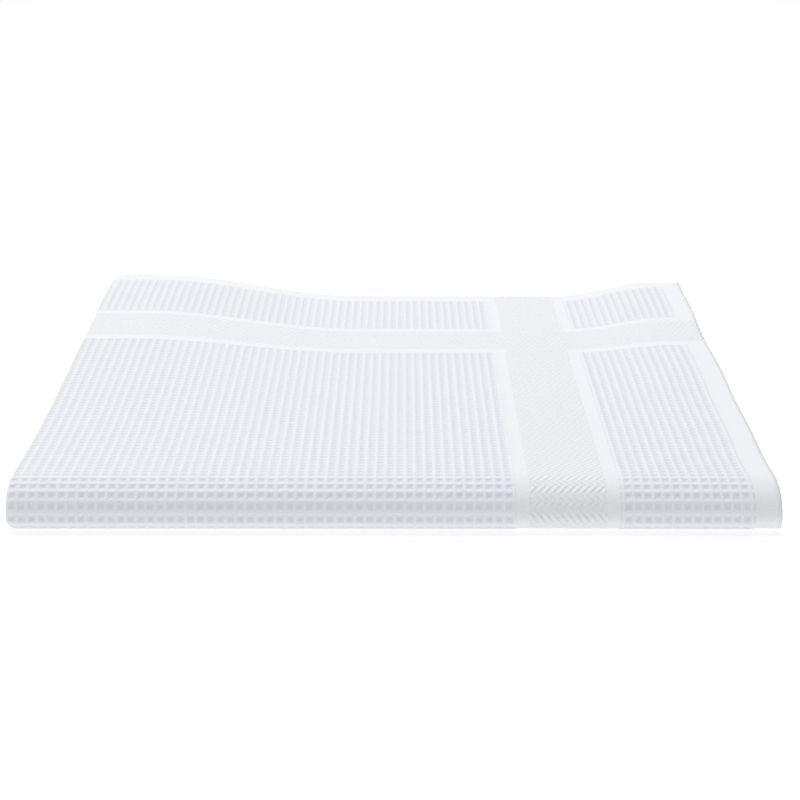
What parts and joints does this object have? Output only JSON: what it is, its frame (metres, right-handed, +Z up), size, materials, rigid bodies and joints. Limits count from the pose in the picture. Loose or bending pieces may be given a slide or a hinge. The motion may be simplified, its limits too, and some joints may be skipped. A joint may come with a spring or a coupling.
{
  "type": "glass cloth, folded",
  "caption": "White cotton waffle-weave glass cloth with plain herringbone bands, folded flat in half and then in thirds.",
  "frame": {"origin": "middle of the folded cloth's footprint, on the surface it rests on", "axes": "+X along the front fold, to the right seen from the fold; +Y from the front fold to the back; +Z up"},
  "size_m": [0.2498, 0.232, 0.0272],
  "materials": {
    "cotton": "matte white cotton"
  },
  "bodies": {
    "root": {"glass_cloth": "cotton"}
  },
  "joints": []
}
